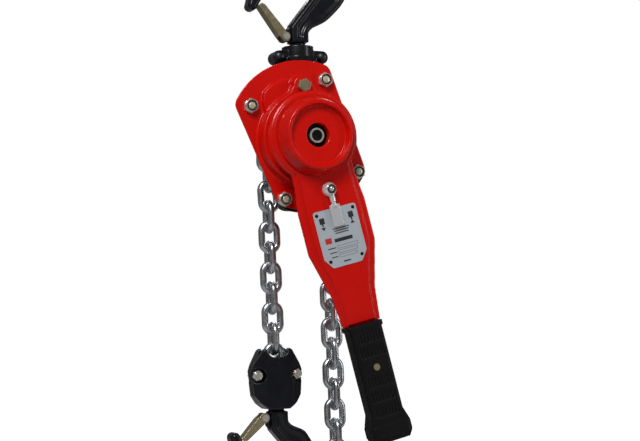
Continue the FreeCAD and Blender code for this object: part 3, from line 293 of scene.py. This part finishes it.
def brushed(name, low, high, rough, stretch, metallic=1.0):
    """Metal with a fine grain along one direction."""
    s = Shader(name, metallic=metallic)
    grain = s.noise(1.0, 5, 0.7, stretch)
    s.colour(s.blend(grain, low, high))
    s.roughness(s.spread(grain, NOISE_LOW, NOISE_HIGH, rough * 0.8, rough * 1.3))
    s.bump(grain, 0.00004, 0.5)
    return s.material


def cast_metal():
    """Bare grey casting with a coarse skin."""
    s = Shader("cast_metal", metallic=0.8)
    s.colour(s.blend(s.noise(120, 6), (0.07, 0.07, 0.072), (0.16, 0.16, 0.165)))
    s.roughness(s.spread(s.noise(200, 5), NOISE_LOW, NOISE_HIGH, 0.45, 0.65))
    s.bump(s.noise(420, 6), 0.0003, 0.7)
    return s.material


def rubber():
    """Moulded black rubber with a satin bloom and fine pores, lighter on the edges: partly wear, partly a painted
    highlight.
    """
    s = Shader("rubber", gloss=0.20)
    tone = s.blend(s.noise(60, 4), (0.0014, 0.0014, 0.002), (0.0042, 0.0042, 0.0055))
    # lighter edges: partly worn rubber, partly a painted highlight
    wear_and_highlight = s.times(s.edges(0.52, 0.6), s.noise(120, 5))
    s.colour(s.blend(wear_and_highlight, tone, (0.016, 0.016, 0.018)))
    s.roughness(s.spread(s.noise(150, 5), NOISE_LOW, NOISE_HIGH, 0.42, 0.62))
    s.bump(s.noise(1300, 3), 0.00008, 0.6)
    return s.material


def matt(name, low, high, rough, grain=600):
    """A dull moulded or pressed material."""
    s = Shader(name)
    s.colour(s.blend(s.noise(90, 5), low, high))
    s.roughness(s.spread(s.noise(150, 4), NOISE_LOW, NOISE_HIGH, rough * 0.85, rough * 1.15))
    s.bump(s.noise(grain, 4), 0.00008, 0.5)
    return s.material


def make_materials():
    """One material for each slot, and a few for the pieces made here."""
    along_y, along_z = (300, 2500, 300), (120, 120, 3200)
    return {
        "red": red_paint(),
        "forged": black_enamel(),
        "plate": black_plate_paint(),
        "chain": galvanised(),
        "zinc": plated("zinc", (0.62, 0.59, 0.52), (0.88, 0.86, 0.80), 0.26, 700, 0.75),
        "yellow_zinc": plated(
            "yellow_zinc", (0.24, 0.19, 0.09), (0.66, 0.58, 0.38), 0.30, 700, 0.8),
        "bolt_black": plated("bolt_black", (0.03, 0.03, 0.034), (0.07, 0.07, 0.075), 0.38),
        "machined": brushed("machined", (0.38, 0.39, 0.40), (0.62, 0.63, 0.65), 0.28, along_y),
        "cast": cast_metal(),
        "chrome": plated("chrome", (0.80, 0.81, 0.83), (0.94, 0.95, 0.97), 0.16, 400, 0.55),
        "nameplate": brushed(
            "nameplate", (0.46, 0.52, 0.57), (0.62, 0.68, 0.73), 0.34, along_z, 0.3),
        "bronze": brushed("bronze", (0.42, 0.27, 0.10), (0.60, 0.42, 0.18), 0.32, along_y),
        "lining": matt("lining", (0.10, 0.075, 0.05), (0.19, 0.15, 0.11), 0.85, 350),
        "grip": rubber(),
        "pale_yellow": plated(
            "pale_yellow", (0.62, 0.56, 0.36), (0.80, 0.75, 0.55), 0.34, 700, 0.5),
        "nylon": matt("nylon", (0.012, 0.012, 0.013), (0.03, 0.03, 0.032), 0.42),
        "ink": matt("ink", (0.012, 0.012, 0.014), (0.03, 0.03, 0.034), 0.45),
        "red_ink": matt("red_ink", (0.50, 0.02, 0.015), (0.62, 0.03, 0.02), 0.45),
        "black_oxide": plated("black_oxide", (0.010, 0.010, 0.011), (0.030, 0.030, 0.033), 0.42),
    }


# ---- helpers --------------------------------------------------------------------------
def new_piece(name, mesh, body, material):
    """An object of one material that rides on a body."""
    piece = bpy.data.objects.new(name, mesh)
    bpy.context.scene.collection.objects.link(piece)
    mesh.materials.clear()
    mesh.materials.append(material)
    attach(piece, body)
    return piece


def mesh_from(builder, name):
    """A mesh from a bmesh that a function fills, its faces turned outwards."""
    work = bmesh.new()
    builder(work)
    bmesh.ops.recalc_face_normals(work, faces=work.faces)
    mesh = bpy.data.meshes.new(name)
    work.to_mesh(mesh)
    work.free()
    return mesh


def applied(mesh, *modifiers):
    """A new mesh: the given one with these modifiers applied in order."""
    carrier = bpy.data.objects.new("carrier", mesh)
    bpy.context.scene.collection.objects.link(carrier)
    for kind, settings in modifiers:
        modifier = carrier.modifiers.new(kind.lower(), kind)
        for key, value in settings.items():
            setattr(modifier, key, value)
    depsgraph = bpy.context.evaluated_depsgraph_get()
    result = bpy.data.meshes.new_from_object(carrier.evaluated_get(depsgraph))
    bpy.data.objects.remove(carrier)
    return result


def welded(node):
    """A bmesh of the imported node, its faces joined at their shared corners."""
    work = bmesh.new()
    work.from_mesh(NODES[node].data)
    bmesh.ops.remove_doubles(work, verts=work.verts, dist=WELD)
    return work


def welded_copy(node):
    work = welded(node)
    mesh = bpy.data.meshes.new(node + "_skin")
    work.to_mesh(mesh)
    work.free()
    return mesh


def smooth_shade(mesh):
    mesh.polygons.foreach_set("use_smooth", [True] * len(mesh.polygons))
    return mesh


def rounded(node, voxel, passes, material):
    """The node's own shape with the soft edges that pressing, forging or moulding leaves."""
    mesh = applied(
        welded_copy(node),
        ("REMESH", {"mode": "VOXEL", "voxel_size": voxel}),
        ("SMOOTH", {"factor": 0.5, "iterations": passes}),
        ("DECIMATE", {"ratio": 1.0 if node in CARVED else SKIN_SHARE}),
    )
    piece = new_piece(node + "_skin", smooth_shade(mesh), BODY_OF[node], material)
    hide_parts(node)
    return piece


def islands(node):
    """The lowest and highest corner of each separate solid in a node, always in one order."""
    work = welded(node)
    left = set(work.verts)
    found = []
    while left:
        group, edge = set(), [left.pop()]
        while edge:
            vert = edge.pop()
            group.add(vert)
            for link in vert.link_edges:
                other = link.other_vert(vert)
                if other in left:
                    left.discard(other)
                    edge.append(other)
        low = Vector(tuple(min(v.co[i] for v in group) for i in range(3)))
        high = Vector(tuple(max(v.co[i] for v in group) for i in range(3)))
        found.append((low, high))
    work.free()
    found.sort(key=lambda corners: tuple(corners[0]))
    return found


def ring(work, centre, radius, tube, around=48, section=14):
    """A closed ring about Y."""
    rows = []
    for i in range(around):
        a = 2 * math.pi * i / around
        row = []
        for j in range(section):
            b = 2 * math.pi * j / section
            r = radius + tube * math.cos(b)
            y = tube * math.sin(b)
            row.append(work.verts.new(centre + Vector((r * math.cos(a), y, r * math.sin(a)))))
        rows.append(row)
    for i in range(around):
        for j in range(section):
            corners = (rows[i][j], rows[i - 1][j], rows[i - 1][j - 1], rows[i][j - 1])
            work.faces.new(corners)


# ---- pieces ---------------------------------------------------------------------------
def carve_webs(piece):
    """Sink the flat cheeks of a forged hook inside an even rim."""
    mesh = piece.data
    half = max(v.co.y for v in mesh.vertices)
    flank = [v.co for v in mesh.vertices if abs(v.co.y) < half * OUTLINE_SHARE]
    tree = KDTree(len(flank))
    for i, co in enumerate(flank):
        tree.insert(Vector((co.x, 0, co.z)), i)
    tree.balance()
    for vert in mesh.vertices:
        if abs(vert.co.y) < half * CHEEK_SHARE:
            continue
        away = tree.find(Vector((vert.co.x, 0, vert.co.z)))[2]
        t = min(max((away - CARVE_RIM) / CARVE_EASE, 0.0), 1.0)
        vert.co.y -= math.copysign(CARVE_DEPTH * t * t * (3 - 2 * t), vert.co.y)
    mesh.update()


def lock_nuts(node):
    """Each nut's number, middle, crown, share of the widest nut, and the way it faces on Y."""
    for i, (low, high) in enumerate(islands(node)):
        middle = (low + high) / 2
        side = -1 if middle.y < PACKED_MIDDLE.y else 1
        crown = low.y if side < 0 else high.y
        size = min((high.x - low.x) / WIDEST_NUT[node], 1.0)
        yield i, middle, crown, size, side


def nut_rings(materials):
    """The nylon ring in the crown of each lock nut."""
    for node, radius, tube, sink in NYLON_RINGS:
        for i, middle, crown, size, side in lock_nuts(node):
            centre = Vector((middle.x, crown - side * sink * MM, middle.z))

            def build(work):
                ring(work, centre, radius * size * MM, tube * size * MM)

            mesh = smooth_shade(mesh_from(build, "nylon_ring"))
            name = "nylon_ring_%s_%d" % (node, i)
            new_piece(name, mesh, BODY_OF[node], materials["nylon"])


def bolt_ends(materials):
    """The passivated end of each stay bolt, seen inside its lock nut."""
    for node, radius, depth in BOLT_ENDS:
        for i, middle, crown, size, side in lock_nuts(node):
            face = crown - side * BOLT_SINK * MM
            profile = [(radius * size * share, face - side * deep * MM)
                       for share, deep in (*BOLT_CHAMFER, (1.0, depth))]

            def build(work):
                turn = [2 * math.pi * k / BOLT_SIDES for k in range(BOLT_SIDES)]
                rows = []
                for r, y in profile:
                    rows.append([
                        work.verts.new((
                            middle.x + r * MM * math.cos(t), y, middle.z + r * MM * math.sin(t)))
                        for t in turn
                    ])
                for inner, outer in zip(rows, rows[1:]):
                    for k in range(BOLT_SIDES):
                        work.faces.new((inner[k], inner[k - 1], outer[k - 1], outer[k]))
                work.faces.new(rows[0])
                work.faces.new(rows[-1])

            mesh = smooth_shade(mesh_from(build, "bolt_end"))
            name = "bolt_end_%s_%d" % (node, i)
            new_piece(name, mesh, BODY_OF[node], materials["pale_yellow"])


def knob_ring(materials):
    """The dark washer under the selector's screw."""
    low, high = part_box("selector_screw")
    centre = Vector(((low.x + high.x) / 2, low.y + KNOB_RING_SINK, (low.z + high.z) / 2))

    def build(work):
        ring(work, centre, KNOB_RING_R, KNOB_RING_TUBE)

    mesh = smooth_shade(mesh_from(build, "knob_ring"))
    new_piece("knob_ring", mesh, "selector", materials["nylon"])


def on_plate(u, v, lift):
    """A point on the name plate's face, u across and v up from the hub, in millimetres."""
    x = u * math.cos(LEVER_LEAN) - v * math.sin(LEVER_LEAN)
    z = u * math.sin(LEVER_LEAN) + v * math.cos(LEVER_LEAN)
    return Vector((HUB.x + x * MM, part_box("name_plate")[0].y - lift * MM, HUB.z + z * MM))


def printed(name, shapes, material):
    """Thin ink shapes on the name plate, each a polygon of u, v points."""
    def build(work):
        for points in shapes:
            front = [work.verts.new(on_plate(u, v, INK_THICKNESS)) for u, v in points]
            back = [work.verts.new(on_plate(u, v, 0.0)) for u, v in points]
            work.faces.new(front)
            work.faces.new(list(reversed(back)))
            for i in range(len(points)):
                work.faces.new((front[i - 1], front[i], back[i], back[i - 1]))
    new_piece(name, mesh_from(build, name), "lever", material)


def bar(u0, u1, v0, v1):
    return ((u0, v0), (u1, v0), (u1, v1), (u0, v1))


def outline(u0, u1, v0, v1, wide):
    """An empty box, as four bars."""
    return [
        bar(u0, u1, v0, v0 + wide),
        bar(u0, u1, v1 - wide, v1),
        bar(u0, u0 + wide, v0 + wide, v1 - wide),
        bar(u1 - wide, u1, v0 + wide, v1 - wide),
    ]


def direction_sign(side):
    """A small block with a tab under it, and below them an arrow, up or down."""
    u, top, bottom, tab, arrow = 18.5 * side, -94.5, -101.5, -104.6, -107.0
    base = arrow - 1.4 * side
    return [
        ((u - 3.2, top), (u + 3.2, top), (u + 3.2, bottom), (u - 3.2, bottom)),
        bar(u - 0.9, u + 0.9, tab, bottom),
        ((u - 3.0, base), (u + 3.0, base), (u, base + 3.6 * side)),
    ]


def name_plate_print(materials):
    """Wordless print: direction signs, plain lines, a wide bar and empty boxes."""
    line_top, line_pitch, line_height = -109.4, 2.7, 1.2
    box_top, box_pitch, box_line = -130.8, 5.2, 0.35
    band_low, band_high, emblem_high = -125.6, -121.4, -119.0
    shapes = direction_sign(-1) + direction_sign(1)
    for row in range(3):
        v = line_top - line_pitch * row
        shapes.append(bar(-8.0 + row, 13.0 - row, v - line_height, v))
    shapes.append(bar(-9.0, 14.0, band_low, band_high))
    for row in range(3):
        v = box_top - box_pitch * row
        shapes.append(bar(-19.5 + row, -9.5, v - line_height, v))
        shapes += outline(-7.5, 19.0 - 2.0 * row, v - 2 * line_height, v + line_height, box_line)
    shapes.append(bar(-4.0, 5.0, -149.8, -148.2))
    printed("plate_print", shapes, materials["ink"])
    emblem = [bar(-20.5, -12.5, band_low, emblem_high)]
    printed("plate_emblem", emblem, materials["red_ink"])


def set_materials(materials):
    """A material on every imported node, and a rounded skin in place of those in SKINS."""
    slots = {part["node"]: part["material_slot"] for part in frame["record"]["subparts"]}
    for node, holder in NODES.items():
        holder.data.materials.clear()
        looks = "black_oxide" if node in DARK_NODES else slots[node]
        holder.data.materials.append(materials[looks])
    return {
        node: rounded(node, voxel * MM, passes, materials[slots[node]])
        for node, voxel, passes in SKINS
    }


# ---- studio ---------------------------------------------------------------------------
def camera():
    """The photo's view, from CAMERA_AIM back along the line of sight, rolled a little."""
    a, e, r = CAMERA_AZIMUTH, CAMERA_RISE, CAMERA_ROLL
    ahead = Vector((math.sin(a) * math.cos(e), math.cos(a) * math.cos(e), -math.sin(e)))
    level = Vector((math.cos(a), -math.sin(a), 0.0))
    top = level.cross(ahead)
    right = level * math.cos(r) + top * math.sin(r)
    up = -level * math.sin(r) + top * math.cos(r)
    data = bpy.data.cameras.new("camera")
    data.lens = CAMERA_LENS
    data.sensor_width = CAMERA_SENSOR
    data.clip_end = CAMERA_REACH
    holder = bpy.data.objects.new("camera", data)
    bpy.context.scene.collection.objects.link(holder)
    place = CAMERA_AIM - ahead * CAMERA_DISTANCE
    turn = Matrix((right, up, -ahead)).transposed().to_4x4()
    holder.matrix_world = Matrix.Translation(place) @ turn
    bpy.context.scene.camera = holder


def pale_material():
    """The floor's material: matt grey to the lights, and glowing white to the camera alone."""
    material = bpy.data.materials.new("pale")
    material.use_nodes = True
    tree = material.node_tree
    surface = tree.nodes["Principled BSDF"]
    surface.inputs["Base Color"].default_value = (0.5, 0.5, 0.5, 1)
    surface.inputs["Roughness"].default_value = 0.9
    surface.inputs["Emission Color"].default_value = (1, 1, 1, 1)
    seen = tree.nodes.new("ShaderNodeLightPath").outputs["Is Camera Ray"]
    tree.links.new(seen, surface.inputs["Emission Strength"])
    return material


def floor():
    """A plain flat floor below the hanging hoist, wide enough for every view."""
    def build(work):
        grid = bmesh.ops.create_grid(work, x_segments=2, y_segments=2, size=FLOOR_REACH)
        bmesh.ops.translate(work, verts=grid["verts"], vec=(0, 0, FLOOR_Z))

    mesh = mesh_from(build, "floor")
    mesh.materials.append(pale_material())
    holder = bpy.data.objects.new("floor", mesh)
    bpy.context.scene.collection.objects.link(holder)


def area_light(name, place, size, power):
    data = bpy.data.lights.new(name, "AREA")
    data.shape = "RECTANGLE"
    data.size, data.size_y = size
    data.energy = power
    holder = bpy.data.objects.new(name, data)
    bpy.context.scene.collection.objects.link(holder)
    holder.location = place
    holder.rotation_euler = (LIGHTS_AIM - Vector(place)).to_track_quat("-Z", "Y").to_euler()


def studio():
    """Three soft lights, and a sky that is white to the camera and dim as a light."""
    world = bpy.data.worlds.new("studio")
    bpy.context.scene.world = world
    world.use_nodes = True
    tree = world.node_tree
    background = tree.nodes["Background"]
    seen = tree.nodes.new("ShaderNodeLightPath").outputs["Is Camera Ray"]
    level = tree.nodes.new("ShaderNodeMapRange")
    level.inputs["To Min"].default_value = SKY_LIGHT
    level.inputs["To Max"].default_value = SKY_SEEN
    tree.links.new(seen, level.inputs["Value"])
    tree.links.new(level.outputs["Result"], background.inputs["Strength"])
    background.inputs["Color"].default_value = (1, 1, 1, 1)
    bpy.context.scene.view_settings.view_transform = "Standard"
    for name, place, size, power in LIGHTS:
        area_light(name, place, size, power)


materials = make_materials()
skins = set_materials(materials)
for hook in CARVED:
    carve_webs(skins[hook])
nut_rings(materials)
bolt_ends(materials)
knob_ring(materials)
name_plate_print(materials)
camera()
floor()
studio()
